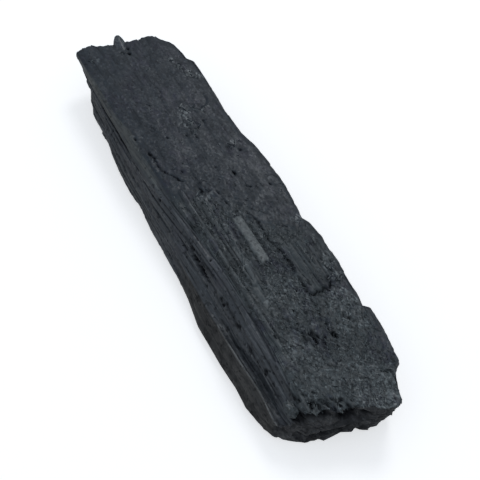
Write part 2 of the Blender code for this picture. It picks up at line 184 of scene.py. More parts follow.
# Where the top is broken in and painted dark, partly as shade along its near front edge, as (x, y,
# radius, share).
DARK_PATCHES = [
    (0.6, -8.7, 2.2, 0.3), (-6.6, -3.1, 2.2, 0.25), (13.0, -7.4, 2.2, 0.2), (36.0, 0.0, 2.0, 0.75),
    (46.6, -9.6, 2.4, 0.9), (48.6, -7.9, 1.5, 0.8), (25.6, 9.4, 1.2, 0.6), (22.2, 11.6, 0.9, 0.8),
    (49.4, -5.8, 1.5, 0.8), (51.0, -3.4, 1.4, 0.8), (52.0, -1.0, 1.2, 0.7),
]
# The cracks of the top, as (width, depth, points).
TOP_CRACKS = [
    (0.6, 0.4, [
        (-21.4, -8.3), (-19.4, -7.9), (-17.3, -8.3), (-14.5, -7.6), (-13.3, -6.9), (-11.8, -6.1),
        (-10.5, -5.2),
    ]),
    (0.6, 0.3, [
        (3.3, 3.0), (7.9, 3.8), (12.2, 3.6), (15.2, 4.5), (20.1, 4.7), (26.4, 4.2), (37, 3.2),
    ]),
    (0.55, 0.3, [
        (26.9, 4.3), (28.0, 4.9), (27.4, 6.0), (28.0, 6.9), (27.2, 7.6), (28.4, 8.3), (26.9, 9.4),
    ]),
    (0.9, 0.6, [(48.3, 7.4), (49.2, 8.4), (50.5, 9.8)]),
    (0.5, 0.14, [(-39.3, 1.5), (-36.2, 1.8), (-33.6, 0.8), (-30.4, 0.8)]),
]
CORNER_STEP = 3.6  # how much earlier the uppermost columns of the near left corner end
FLANK_PITS = [
    # x, z, length, width, depth
    (4.6, 9.3, 2.4, 0.9, 0.7), (6.9, 8.8, 3.2, 1.5, 1.1), (9.8, 8.3, 3.6, 1.5, 1.3),
    (3.4, 8.2, 2.2, 0.6, 0.5), (18.2, 8.9, 1.2, 0.6, 0.4), (19.6, 8.6, 0.9, 0.5, 0.4),
    (25.6, 8.6, 1.4, 0.6, 0.4), (13.4, 7.4, 1.6, 0.5, 0.4), (-20.4, 9.2, 1.6, 0.6, 0.4),
    (-9.8, 9.6, 1.3, 0.6, 0.4), (31.4, 8.2, 1.5, 0.6, 0.4), (37.2, 8.6, 1.2, 0.6, 0.4),
]
STRIP_CRACK = (-32.5, 9.0, 0.5)  # middle x, half length and depth of the crack under the light strip
END_HOLLOWS = [
    # x, y, z, and the radii along each axis
    (54.2, -1.9, 8.5, 3.8, 2.9, 2.7),
    (54.8, 0.9, 8.2, 2.4, 1.8, 1.6),
    (53.4, -4.6, 9.6, 2.2, 1.6, 1.2),
    (52.2, -7.0, 10.6, 2.0, 1.9, 1.4),
    (51.0, -9.2, 10.4, 1.9, 1.3, 1.3),
    (50.4, -10.2, 3.3, 1.9, 2.6, 1.0),
    (51.8, -6.4, 3.0, 1.7, 3.2, 0.9),
    (53.4, -2.0, 2.8, 1.8, 2.8, 0.9),
    (47.6, -13.9, 4.3, 1.4, 0.9, 1.5),
    (52.6, -3.6, 5.6, 1.0, 1.2, 1.2),
    (56.0, 3.6, 3.6, 1.2, 1.8, 0.8),
]
SPIKE_FOOT, SPIKE_TIP = (-50.8, -0.4, 8.8), (-56.9, 0.5, 12.2)
SPIKE_FOOT_RADIUS, SPIKE_TIP_RADIUS = 2.8, 0.62
SPIKE_RINGS, SPIKE_SIDES = 9, 21
SPIKE_END = ((0.75, 0.16), (0.35, 0.26))  # the rounding of its tip, as (share of the radius, rise)
CRUMB = (46.9, -11.2, 9.6, 1.2)  # x, y, z and radius
SMALL_PITS = 26  # how many are scattered over the top
FELT_NEEDLES = 9000
FELT_X, FELT_Y = (-58, 57), (-12, 14)  # where the needles of the felt lie
FELT_PITCH = 0.12  # the fineness of the felt's map
FELT_CORNER = (-60.0, -18.0)
FELT_CELLS = (1000, 300)
# Splinters laid over the skin by piece: what the inputs of their geometry tree are set to.
SPLINTERS = {
    "top_splinters": dict(
        Mask="litter", Density=5.0e6, Shortest=0.4 * MM, Longest=1.5 * MM,
        Width=0.30 * MM, Spread=0.8, Tilt=0.10, Seed=3,
    ),
    "worn_flakes": dict(
        Mask="flaked", Density=1.4e6, Shortest=0.6 * MM, Longest=2.0 * MM,
        Width=0.50 * MM, Spread=1.2, Tilt=0.08, Seed=8,
    ),
}

# ---- studio -----------------------------------------------------------------------------------

CAMERA_PLACE = (124.528, -64.397, 199.486)  # in millimetres of the tables
CAMERA_AHEAD = (-0.50430, 0.27326, -0.81915)
CAMERA_UP = (-0.72022, 0.39025, 0.57358)
CAMERA_LENS = 82.5
CAMERA_SENSOR = 36.0
CAMERA_NEAREST = 0.005  # in metres, as is all that follows
KEY_PLACE, KEY_SIZE, KEY_POWER = (-0.34, 0.40, 0.76), 0.30, 1.35
SKY_LOW, SKY_HIGH = (0.365, 0.38, 0.395, 1), (0.38, 0.42, 0.47, 1)
FLOOR_GLOW = 0.56
FLOOR_REACH = 3.0


# ---- small maths ------------------------------------------------------------------------------


def smooth_step(low, high, value):
    share = np.clip((value - low) / (high - low), 0.0, 1.0)
    return share * share * (3 - 2 * share)


def along(line, x):
    """The other coordinates of a line at x, straight between its points."""
    table = np.array(line, float)
    return [np.interp(x, table[:, 0], column) for column in table[:, 1:].T]


def perlin(x, y, z):
    """Blender's own smooth noise at every point of three equal arrays."""
    x, y, z = np.broadcast_arrays(x, y, z)
    values = [noise.noise(point) for point in zip(x.flat, y.flat, z.flat)]
    return np.array(values).reshape(x.shape)


LATTICE = 64  # cells along each side of a table of random values, which repeats beyond them


class SmoothNoise:
    """Smooth noise between -1 and 1, from a seeded lattice of random values."""

    def __init__(self, seed):
        self.values = np.random.default_rng(seed).uniform(-1, 1, (LATTICE,) * 3)

    def __call__(self, x, y, z=0.0):
        x, y, z = np.broadcast_arrays(x, y, z)
        corners = [np.floor(value).astype(int) for value in (x, y, z)]
        shares = [value - corner for value, corner in zip((x, y, z), corners)]
        shares = [share * share * (3 - 2 * share) for share in shares]
        total = np.zeros(x.shape)
        for corner in np.ndindex(2, 2, 2):
            places = tuple((base + step) % LATTICE for base, step in zip(corners, corner))
            weight = 1.0
            for share, step in zip(shares, corner):
                weight = weight * (share if step else 1 - share)
            total += weight * self.values[places]
        return total


def cells(a, b, size, seed):
    """Random cells of a plane: each point's cell value from 0 to 1, and how far it is from a border."""
    rng_values = np.random.default_rng(seed).random((3, LATTICE, LATTICE))
    a, b = a / size, b / size
    home_a, home_b = np.floor(a).astype(int), np.floor(b).astype(int)
    nearest, second = np.full(a.shape, 9.0), np.full(a.shape, 9.0)
    value = np.zeros(a.shape)
    for step_a in (-1, 0, 1):
        for step_b in (-1, 0, 1):
            cell = ((home_a + step_a) % LATTICE, (home_b + step_b) % LATTICE)
            centre_a = home_a + step_a + rng_values[0][cell]
            centre_b = home_b + step_b + rng_values[1][cell]
            distance = np.hypot(a - centre_a, b - centre_b)
            closer = distance < nearest
            second = np.where(closer, nearest, np.minimum(second, distance))
            value = np.where(closer, rng_values[2][cell], value)
            nearest = np.where(closer, distance, nearest)
    return value, (second - nearest) * size


def distance_to_line(x, y, points):
    """How far each point of the plane is from a line of straight stretches."""
    nearest = np.full(np.shape(x), 1e9)
    for (ax, ay), (bx, by) in zip(points, points[1:]):
        dx, dy = bx - ax, by - ay
        share = np.clip(((x - ax) * dx + (y - ay) * dy) / (dx * dx + dy * dy), 0, 1)
        nearest = np.minimum(nearest, np.hypot(x - ax - share * dx, y - ay - share * dy))
    return nearest


def inside_outline(x, y, points):
    """How far each point lies inside a closed outline, negative where it is outside."""
    inside = np.zeros(np.shape(x), bool)
    closed = points + points[:1]
    for (ax, ay), (bx, by) in zip(closed, closed[1:]):
        crosses = (ay > y) != (by > y)
        rise = by - ay if by != ay else 1e-9
        inside ^= crosses & (x < (bx - ax) * (y - ay) / rise + ax)
    distance = distance_to_line(x, y, closed)
    return np.where(inside, distance, -distance)


# ---- the log's base form ----------------------------------------------------------------------

RAGGED, WIDE, FINE, LUMPS = (SmoothNoise(seed) for seed in (11, 5, 6, 9))


def weathered(x, y, width):
    """1 on the weathered near half of the top, 0 on the far plate, changing over a width."""
    line = along(WEATHERED_LINE, x)[0]
    edge = line - y + 1.6 * RAGGED(x * 0.45, y * 0.6, 0.0) + 0.7 * RAGGED(x * 1.6, y * 1.9, 7.0)
    return smooth_step(-width, width, edge)


def top_height(x, y):
    crown = CROWN * (1 - ((y - CROWN_MIDDLE) / CROWN_REACH) ** 2)
    tilt = NEAR_TILT * smooth_step(30, 55, x)
    return THICKNESS - CROWN + crown - NEAR_TOP_DROP * weathered(x, y, 4.0) - tilt


def corners(x):
    """The corners of the cross-section at each x as (y, z), round from the top left edge."""
    left, right, foot = (along(line, x)[0] for line in (TOP_LEFT_EDGE, TOP_RIGHT_EDGE, FOOT_LEFT))
    shoulder = [
        (left, top_height(x, left) - LEFT_EDGE_DROP),
        (right, top_height(x, right) - RIGHT_EDGE_DROP),
    ]
    calm = sum(along(TOP_RIGHT_EDGE, x + shift)[0] for shift in CALM_REACH) / len(CALM_REACH)
    notched = np.minimum(calm - right, 0)
    flank = [
        (right + notched * smooth_step(*NOTCH_FADE, height) + out, height) for out, height in RIGHT_FLANK
    ]
    feet = [(foot + FOOT_INSET, 0.0), (foot, FOOT_HEIGHT)]
    base_start, base_width = flank[-1][0], feet[0][0] - flank[-1][0]
    base = [(base_start + base_width * share, height) for share, height in BASE_RELIEF]
    lines = [along(line, x) for line in (LOWER_FACE_TOP, GROOVE_FLOOR, COLUMN_SHOULDER, UPPER_LEDGE)]
    return shoulder + flank + base + feet + lines


SIDE_FACES = [TOP_FACES] + RIGHT_FACES + BASE_FACES + LEFT_FACES
RING_SIDE = np.repeat(np.arange(len(SIDE_FACES)), SIDE_FACES)
RING_STEP = np.concatenate([np.arange(count) for count in SIDE_FACES])
RING = len(RING_SIDE)


def top_row(x, step):
    """y of one line of the top: straight in the middle, and following the edges outside it."""
    before, straight, low, high = TOP_STRAIGHT
    left, right = along(TOP_LEFT_EDGE, x)[0], along(TOP_RIGHT_EDGE, x)[0]
    if step < before:
        return left + (low - left) * step / before
    if step <= before + straight:
        return np.full(np.shape(x), low + (high - low) * (step - before) / straight)
    after = TOP_FACES - before - straight
    return high + (right - high) * (step - before - straight) / after


def ring_row(x, index):
    """One lengthwise line of the skin, as y and z at each x."""
    side, step = RING_SIDE[index], RING_STEP[index]
    points = corners(x)
    (start_y, start_z), (end_y, end_z) = points[side], points[(side + 1) % len(points)]
    share = step / SIDE_FACES[side]
    if side > 0:
        return start_y + (end_y - start_y) * share, start_z + (end_z - start_z) * share + 0 * x
    y = top_row(x, step)
    left_fall = LEFT_EDGE_DROP * np.clip(1 - (y - start_y) / LEFT_EDGE_REACH, 0, 1) ** 2
    right_fall = RIGHT_EDGE_DROP * np.clip(1 - (end_y - y) / RIGHT_EDGE_REACH, 0, 1) ** 2
    return y, top_height(x, y) - (left_fall + right_fall)


def far_break(y, z):
    under = 1 - np.minimum(1.0, z / THICKNESS)
    ragged = EDGE_RAGGED * perlin(y * 0.55, z * 0.6, 3.1)
    return along(FAR_BREAK, y)[0] + FAR_UNDERCUT * under**1.4 + ragged


def near_break(y, z):
    under = 1 - np.minimum(1.0, z / THICKNESS)
    ragged = EDGE_RAGGED * perlin(y * 0.6, z * 0.7, 8.3)
    return along(NEAR_BREAK, y)[0] - along(NEAR_UNDERCUT, y)[0] * under + ragged


def broken_columns(y, z, seed):
    """How much further in or out each small column of a broken end is snapped off."""
    drift = 0.5 * RAGGED(y * 0.8, z * 0.8, seed)
    blocks, _ = cells(y + drift, z - drift, 3.1, seed + 2)
    coarse, gap = cells(y + drift, z, 1.5, seed)
    fine, border = cells(y, z + drift, 0.7, seed + 1)
    hackly = RAGGED(y * 1.4, z * 1.7, seed + 3) + 0.6 * RAGGED(y * 3.6, z * 4.1, seed + 4)
    steps = 1.2 * (blocks - 0.5) + 1.1 * (coarse - 0.5) + 0.7 * (fine - 0.5) + 0.35 * hackly
    steps -= 0.35 * smooth_step(0.16, 0.0, gap)
    steps -= 0.2 * smooth_step(0.1, 0.0, border)
    return steps * smooth_step(-0.6, 1.6, z)


def far_face(y, z):
    return far_break(y, z) - (0.35 + 0.55 * smooth_step(11.2, 9.0, z)) * broken_columns(y, z, 31)


def near_face(y, z):
    depth = near_break(y, z) + (0.5 - 0.2 * smooth_step(1, 5, y)) * broken_columns(y, z, 41)
    ragged = 0.5 * RAGGED(y * 0.9, z * 0.9, 13.0)
    depth = depth - CORNER_STEP * smooth_step(7.8, 9.0, z + ragged) * smooth_step(-9.3, -10.3, y + ragged)
    for x, hollow_y, hollow_z, along_x, along_y, along_z in END_HOLLOWS:
        uneven = 1 + 0.45 * RAGGED(y * 0.8, z * 0.8, hollow_y) + 0.3 * RAGGED(y * 2.3, z * 2.3, hollow_z)
        away = (((y - hollow_y) / along_y) ** 2 + ((z - hollow_z) / along_z) ** 2) * uneven
        floor = x - along_x * np.sqrt(np.clip(1 - away, 0, 1))
        depth = np.where(away < 1, np.minimum(depth, floor), depth)
    return depth


def near_end_shade(y, z):
    """How much shade is painted on the near end: a band along its foot and a weaker darkening over its
    right side.
    """
    height = 3.0 + 0.5 * RAGGED(y * 0.5, 2.0, 17.0)
    band = smooth_step(height + 0.7, height - 0.5, z) * smooth_step(-12.5, -11, y) * smooth_step(3, 0, y)
    mottle = np.clip(0.7 + 0.8 * RAGGED(y * 0.7, z * 1.1, 19.0), 0.25, 1)
    return np.maximum(0.65 * band * mottle, 0.22 * smooth_step(0, 4, y))


# ---- relief of the skin -----------------------------------------------------------------------


def column_field(count_along, count_across, seed, widths, lengths, relief, gap):
    """Columns side by side: each keeps its height until it is broken off, with a gap beside it."""
    rng = np.random.default_rng(seed)
    field, gaps = np.zeros((2, count_along, count_across))
    wear = SmoothNoise(seed)
    along_log = np.arange(count_along)
    across = 0
    while across < count_across:
        width = int(rng.integers(*widths))
        start = -int(rng.integers(0, lengths[1]))
        while start < count_along:
            length = int(rng.integers(*lengths))
            low, high = max(0, start), max(0, start + length)
            field[low:high, across:across + width] = rng.uniform(-relief, relief)
            start += length
        crown = np.sin(np.linspace(0, np.pi, width + 1))[: min(width, count_across - across)]
        field[:, across:across + width] += 0.35 * relief * crown
        open_share = np.clip(1.6 * wear(along_log / 22.0, across * 3.7) + 0.45, 0, 1)
        field[:, across] -= gap * open_share
        gaps[:, across] = open_share
        across += width
    return field, gaps


def felt_map():
    """A map of the top covered with short raised needles that lie across each other."""
    rng = np.random.default_rng(17)
    low_x, low_y = FELT_CORNER
    heights = np.zeros(FELT_CELLS)
    for _ in range(FELT_NEEDLES):
        x, y = rng.uniform(*FELT_X), rng.uniform(*FELT_Y)
        angle = rng.normal(0.0, 0.75)
        length, width, rise = rng.uniform(0.5, 1.7), rng.uniform(0.22, 0.45), rng.uniform(0.04, 0.2)
        reach = int(length / 2 / FELT_PITCH) + 3
        i, j = int((x - low_x) / FELT_PITCH), int((y - low_y) / FELT_PITCH)
        rows, columns = slice(i - reach, i + reach), slice(j - reach, j + reach)
        grid_x = low_x + FELT_PITCH * np.arange(rows.start, rows.stop)[:, None] - x
        grid_y = low_y + FELT_PITCH * np.arange(columns.start, columns.stop)[None, :] - y
        lengthwise = grid_x * np.cos(angle) + grid_y * np.sin(angle)
        crosswise = grid_y * np.cos(angle) - grid_x * np.sin(angle)
        shape = np.clip(1 - np.abs(crosswise) / width, 0, 1)
        shape *= np.clip((length / 2 - np.abs(lengthwise)) / 0.2, 0, 1)
        tilted = rise * shape * (1 + 0.6 * lengthwise / length)
        heights[rows, columns] = np.maximum(heights[rows, columns] * 0.6, tilted)

    def sample(x, y):
        row, column = (x - low_x) / FELT_PITCH, (y - low_y) / FELT_PITCH
        last_row, last_column = FELT_CELLS[0] - 2, FELT_CELLS[1] - 2
        i, j = np.clip(row.astype(int), 0, last_row), np.clip(column.astype(int), 0, last_column)
        a, b = np.clip(row - i, 0, 1), np.clip(column - j, 0, 1)
        return (
            heights[i, j] * (1 - a) * (1 - b) + heights[i + 1, j] * a * (1 - b)
            + heights[i, j + 1] * (1 - a) * b + heights[i + 1, j + 1] * a * b
        )

    return sample


def bar(x, y, x_start, x_end, middle, width):
    """1 on a straight rib along X with ragged ends, 0 beside it."""
    wander = 0.12 * RAGGED(x * 0.5, middle, 3.0)
    sides = smooth_step(0.12, -0.12, np.abs(y - middle - wander) - width / 2)
    ends = 0.5 * RAGGED(y * 2.2, middle, 5.0)
    return sides * smooth_step(-0.2, 0.2, x - x_start - ends) * smooth_step(-0.2, 0.2, x_end + ends - x)


def sink_chip(x, y, relief):
    """Sinks the shell-shaped chip into the relief, and gives the mask of its raised rim."""
    chip_x, chip_y, length, width, depth = SCALLOP
    away = np.hypot((x - chip_x) / (length / 2), (y - chip_y) / (width / 2))
    away += 0.10 * FINE(x * 0.7, y * 0.7, 2.0)
    towards_lip = (0.88 * (x - chip_x) - 0.48 * (y - chip_y)) / (length / 2)
    lip = smooth_step(0.35, 0.8, towards_lip)
    lip *= smooth_step(-0.35, 0.3, FINE(x * 0.9, y * 0.9, 12.0) + 0.25)
    relief -= depth * smooth_step(1.04, 0.96, away) * smooth_step(-1.0, 1.0, towards_lip)
    relief += 0.16 * np.exp(-(((away - 1.10) / 0.08) ** 2)) * lip
    return np.exp(-(((away - 1.12) / 0.10) ** 2)) * lip


def raise_ribs(x, y, relief):
    """Raises the single columns of the top, and gives the masks of them all and of the pale one."""
    ribs, pale = np.zeros(x.shape), np.zeros(x.shape)
    for name, x_start, x_end, middle, width, height in TOP_COLUMNS:
        rib = bar(x, y, x_start, x_end, middle, width)
        relief += rib * height
        ribs = np.maximum(ribs, rib)
        if name == "pale_rib":
            pale = rib
    return ribs, pale


def thread_share(x, y, rough, plate, pale):
    """How strongly the fine columns show: on the left of the weathered half, and on the plate."""
    reach = 22 - 4.0 * (y + 4) + 5 * RAGGED(y * 0.9, 3.0, 9.0)
    reach = np.where(y < -5.5, 52, reach)
    thread = smooth_step(-10, -5, x) * smooth_step(5.5, 3.0, y) * smooth_step(4, -4, x - reach)
    thread *= np.clip(0.75 + 1.1 * WIDE(x * 0.22, y * 0.8, 14.0), 0, 1)
    return np.maximum(thread * rough, 0.65 * plate) * (1 - pale)


def litter_share(x, y, rough, growing, covers):
    """How densely splinters lie on the top, thinned by each of the forms that cover it."""
    patchy = smooth_step(-0.5, 0.5, WIDE(x * 0.35, y * 0.5, 40.0) + 0.4 * FINE(x * 0.9, y * 1.2, 41.0))
    litter = (rough + 0.08 * growing) * (0.25 + 0.75 * patchy)
    for cover in covers:
        litter = litter * (1 - cover)
    return litter


def wear_and_glint_share(x, y, rim):
    """How much each point of the top is lightened by wear and painted glints: the rim of the chip and the
    light patches.
    """
    worn = 0.8 * rim
    for patch_x, patch_y, radius, share in WEAR_AND_GLINT_PATCHES:
        spread = np.hypot(x - patch_x, y - patch_y) / radius + 0.5 * FINE(x * 0.8, y * 0.8, patch_y)
        worn = np.maximum(worn, share * smooth_step(1.3, 0.3, spread))
    return worn


def break_top(x, y, relief, holes):
    """Sinks the pits, cracks and broken patches of the top, and gives the shade painted into them."""
    for pit_x, pit_y, length, width, depth in TOP_PITS + small_pits():
        wobble = 1 + 0.5 * FINE(x * 1.7, y * 1.7, pit_x) + 0.3 * FINE(x * 3.9, y * 3.9, pit_y)
        away = np.hypot((x - pit_x) / (length / 2), (y - pit_y) / (width / 2)) * wobble
        sunk = smooth_step(1.2, 0.5, away)
        relief -= sunk * depth
        holes = np.maximum(holes, sunk * min(1.0, 1.3 * depth))
    for width, depth, points in TOP_CRACKS:
        wander = 0.2 * FINE(x * 1.1, 0.0, 21.0) + 0.22 * FINE(x * 2.9, y * 2.0, 22.0)
        broken = np.clip(0.8 + 0.5 * FINE(x * 1.3, 5.0, 4.0), 0, 1)
        cut = smooth_step(width / 2, 0.0, distance_to_line(x, y + wander, points)) * broken
        relief -= cut * depth
        holes = np.maximum(holes, cut * min(1.0, 2.4 * depth))
    for patch_x, patch_y, radius, share in DARK_PATCHES:
        away = np.hypot(x - patch_x, y - patch_y) / radius + 0.6 * FINE(x * 1.1, y * 1.3, patch_x)
        broken = smooth_step(1.2, 0.3, away) * smooth_step(-0.55, 0.25, FINE(x * 0.9, y * 1.6, 33.0))
        relief -= 0.45 * share * broken
        holes = np.maximum(holes, share * broken)
    return holes


def top_relief(x, y):
    """Height of everything on the top above its base form, and the masks of its finishes and of its
    painted light and shade.
    """
    rough = weathered(x, y, 3.5)
    relief = 0.05 * WIDE(x * 0.25, y * 0.4, 1.0)
    relief += rough * (0.08 * WIDE(x * 0.5, y * 0.9, 2.0) + 0.05 * FINE(x * 1.6, y * 2.2, 3.0))
    relief += (1 - rough) * (0.02 * FINE(x * 1.2, y * 1.8, 8.0) + 0.012 * FINE(x * 0.3, y * 3.0, 9.0))
    plate = smooth_step(-0.1, 0.12, inside_outline(x, y, PLATE_OUTLINE)) * smooth_step(9, 17, x)
    relief += plate * PLATE_HEIGHT
    rim = sink_chip(x, y, relief)
    ribs, pale = raise_ribs(x, y, relief)
    threads, gaps = column_field(STATIONS, x.shape[1], *TOP_THREADS)
    thread = thread_share(x, y, rough, plate, pale)
    relief += threads * thread
    growing = 0.26 * smooth_step(-46, -8, x + 6 * WIDE(x * 0.12, y * 0.3, 5.0) - 1.4 * y)
    felt = np.maximum(rough, growing) * (1 - 0.45 * plate) * (1 - 0.6 * ribs) * (1 - 0.5 * thread)
    relief += 0.7 * FELT(x, y) * felt
    holes = break_top(x, y, relief, 0.2 * gaps * thread + 0.16 * plate)
    return relief, {
        "rough": rough, "felt": felt, "pale": pale, "thread": thread, "hole": holes,
        "litter": litter_share(x, y, rough, growing, (pale, 0.6 * plate, 0.6 * thread)),
        "worn": wear_and_glint_share(x, y, rim),
    }


def small_pits():
    """Small pits scattered over the top, as x, y, length, width and depth."""
    rng = np.random.default_rng(23)
    pits = []
    for _ in range(SMALL_PITS):
        place = 49 - 75 * rng.random() ** 1.2, rng.uniform(-8, 11)
        size = rng.uniform(0.3, 0.5)
        pits.append((*place, size * rng.uniform(1.0, 2.6), size, rng.uniform(0.2, 0.5)))
    return pits


FELT = felt_map()
RIGHT_START = TOP_FACES
BASE_START = RIGHT_START + sum(RIGHT_FACES)
LEFT_START = BASE_START + sum(BASE_FACES)
FACE_START = LEFT_START + LEFT_FACES[0]  # the smooth lower face of the left flank
FACE_END = FACE_START + LEFT_FACES[1]
LEDGE_START = RING - LEFT_FACES[-1]  # the light strip under the top left edge
TOP, LEFT, RIGHT = slice(0, TOP_FACES + 1), slice(LEFT_START, RING), slice(RIGHT_START, BASE_START)
FACE, LEDGE = slice(FACE_START, FACE_END), slice(LEDGE_START + 1, RING)
FINISH_AND_LIGHT_MASKS = (
    "rough", "felt", "pale", "hole", "thread", "flank", "face", "strip", "crest", "end", "cavity",
    "lift", "worn",
)
MASKS = FINISH_AND_LIGHT_MASKS + ("litter", "flaked")  # the last two say where splinters are laid


def blurred(field, reach_along, reach_around):
    """A field of the lattice averaged over its neighbours, closed round the ring."""
    total = np.zeros_like(field)
    for step in range(-reach_around, reach_around + 1):
        total += np.roll(field, step, axis=1)
    total /= 2 * reach_around + 1
    padded = np.pad(total, ((reach_along, reach_along), (0, 0)), mode="edge")
    rows = [padded[step:step + len(field)] for step in range(2 * reach_along + 1)]
    return sum(rows) / len(rows)


def skin_points():
    """Points of the skin before its waves and relief, ring by ring from one broken end to the other."""
    starts, ends = np.zeros(RING), np.zeros(RING)
    for index in range(RING):
        y, z = ring_row(np.array(BREAK_SAMPLES), index)
        starts[index] = far_face(y[:1], z[:1])[0]
        ends[index] = near_face(y[1:], z[1:])[0]
    x = starts + (ends - starts) * np.linspace(0, 1, STATIONS)[:, None]
    y, z = np.zeros_like(x), np.zeros_like(x)
    for index in range(RING):
        y[:, index], z[:, index] = ring_row(x[:, index], index)
    return np.stack([x, y, z], -1)


def skin_waves(x, y, z):
    """The slow waves of the whole skin, as a push for each of its points."""
    outward = np.stack([0 * x, y / 14, (z - THICKNESS / 2) / (THICKNESS / 2)], -1)
    outward /= np.linalg.norm(outward, axis=-1, keepdims=True)
    waves = WAVE_HEIGHT * perlin(x * 0.09, y * 0.42, z * 0.42) * np.clip(z / 2.0, 0, 1)
    waves[:, 3:TOP_FACES - 2] *= TOP_WAVE_SHARE
    return outward * waves[..., None]


def mark_top_edges(x, y, masks):
    """Keeps splinters off the edges of the top, and carries the light strip over its left edge."""
    inward = np.minimum(y - y[:, :1], y[:, -1:] - y)
    masks["litter"][:, TOP] *= smooth_step(0.2, 1.2, inward)
    masks["flaked"][:, TOP] = masks["worn"][:, TOP] * smooth_step(0.4, 1.6, inward)
    over = along(STRIP_WIDTH, x)[0] * (1 + 0.3 * LUMPS(x * 0.5, y * 2.0, 3.0))
    masks["strip"][:, TOP] = smooth_step(0.2, -0.2, y - y[:, :1] - over) * smooth_step(-8, -18, x)


def mark_left_flank(x, masks):
    """The smooth lower face with a painted highlight along its ridge, and the light strip with a painted
    highlight on its far corner.
    """
    masks["face"][:, FACE] = smooth_step(2, 12, x[:, FACE])
    rise = smooth_step(0.3, 1.0, np.linspace(0, 1, FACE_END - FACE_START))
    mottle = np.clip(0.75 + 0.7 * LUMPS(x[:, FACE] * 0.35, rise * 4.0, 6.0), 0, 1)
    masks["crest"][:, FACE] = 0.6 * rise * mottle * smooth_step(22, 30, x[:, FACE])
    masks["crest"][:, FACE_END - 1:FACE_END + 1] = smooth_step(20, 27, x[:, FACE_END - 1:FACE_END + 1])
    masks["strip"][:, LEDGE] = smooth_step(-4, -22, x[:, LEDGE])
    for corner in (slice(LEDGE_START + 2, RING), slice(0, 2)):
        masks["crest"][:, corner] = 1.6 * smooth_step(-42, -50, x[:, corner])


def raise_columns(x, y, z, masks, relief):
    """The columns of both flanks, left off the smooth face and the light strip."""
    plain = 1 - 0.8 * masks["face"] - 0.75 * masks["strip"]
    columns, gaps = column_field(STATIONS, RING - LEFT_START, *LEFT_COLUMNS)
    relief[:, LEFT] += columns * plain[:, LEFT]
    # painted shade in the sunk gaps between the columns
    masks["hole"][:, LEFT] = 0.22 * gaps * plain[:, LEFT]
    columns, gaps = column_field(STATIONS, BASE_START - RIGHT_START, *RIGHT_COLUMNS)
    relief[:, RIGHT] += columns
    # painted shade in the sunk gaps between the columns
    masks["hole"][:, RIGHT] = 0.5 * gaps
    rough_flank = 0.14 * LUMPS(x * 0.25, z * 0.9, y * 0.4) + 0.07 * LUMPS(x * 1.3, z * 2.1, y)
    relief += masks["flank"] * rough_flank * plain
    relief[:, BASE_START:LEFT_START] = 0


def break_flank(x, z, masks, relief):
    """Sinks the pits, the recess over the lower face and the crack under the light strip, and paints
    shade into them.
    """
    above_face = (np.arange(RING) > FACE_END)[None, :]
    broken_edge = 1 + 0.55 * LUMPS(x * 0.8, z * 2.4, 5.0) + 0.3 * LUMPS(x * 2.6, z * 4.0, 8.0)
    for pit_x, pit_z, length, width, depth in FLANK_PITS:
        away = np.hypot((x - pit_x) / (length / 2), (z - pit_z) / (width / 2)) * broken_edge
        sunk = smooth_step(1.25, 0.45, away) * above_face
        relief -= sunk * depth
        masks["hole"] = np.maximum(masks["hole"], 0.6 * sunk)
    recess = slice(FACE_END + 2, FACE_END + 8)
    uneven = np.clip(0.55 + 0.5 * LUMPS(x[:, recess] * 0.5, z[:, recess], 2.0), 0, 1)
    shaded = smooth_step(16, 30, x[:, recess]) * uneven
    relief[:, recess] -= 0.25 * shaded
    masks["hole"][:, recess] = np.maximum(masks["hole"][:, recess], 0.30 * shaded)
    relief[:, FACE_END] += 0.22 * smooth_step(20, 27, x[:, FACE_END])
    middle, half_length, depth = STRIP_CRACK
    crack = np.exp(-((x[:, LEDGE_START] - middle) / half_length) ** 4)
    relief[:, LEDGE_START] -= depth * crack
    masks["hole"][:, LEDGE_START] = np.maximum(masks["hole"][:, LEDGE_START], 0.85 * crack)


def skin_arrays():
    """Points of the skin, ring by ring, with its relief, and the masks of its finishes and of its painted
    light and shade.
    """
    points = skin_points()
    normals = skin_normals(points)
    x, y, z = (points[..., axis].copy() for axis in range(3))
    points += skin_waves(x, y, z)
    masks = {name: np.zeros_like(x) for name in MASKS}
    relief = np.zeros_like(x)
    relief[:, TOP], top_masks = top_relief(x[:, TOP], y[:, TOP])
    for name, values in top_masks.items():
        masks[name][:, TOP] = values
    masks["flank"][:, LEFT] = 1
    masks["flank"][:, RIGHT] = 1
    mark_top_edges(x[:, TOP], y[:, TOP], masks)
    mark_left_flank(x, masks)
    raise_columns(x, y, z, masks, relief)
    break_flank(x, z, masks, relief)
    around = blurred(relief, 2, 2)
    # painted shade: points sunk below their neighbours are darkened, as shade in creases
    masks["cavity"] = np.clip((around - relief) / 0.2, 0, 1)
    # painted highlight: points raised above their neighbours are lightened
    masks["lift"] = np.clip((relief - around) / 0.2, 0, 1)
    keep = np.clip(z / 0.6, 0, 1)
    points += normals * (relief * keep)[..., None]
    points[..., 2] = np.maximum(points[..., 2], 0.0)
    return points, masks


def skin_normals(points):
    """The outward direction at each point of the lattice."""
    lengthwise = np.gradient(points, axis=0)
    around = np.roll(points, -1, axis=1) - np.roll(points, 1, axis=1)
    normals = np.cross(around, lengthwise)
    normals /= np.linalg.norm(normals, axis=-1, keepdims=True) + 1e-12
    middle = np.array([0.0, 0.0, THICKNESS / 2])
    away = points - points.mean(axis=1, keepdims=True) * [1, 1, 0] - middle * [0, 0, 1]
    if (normals * away).sum() < 0:
        normals = -normals
    return normals


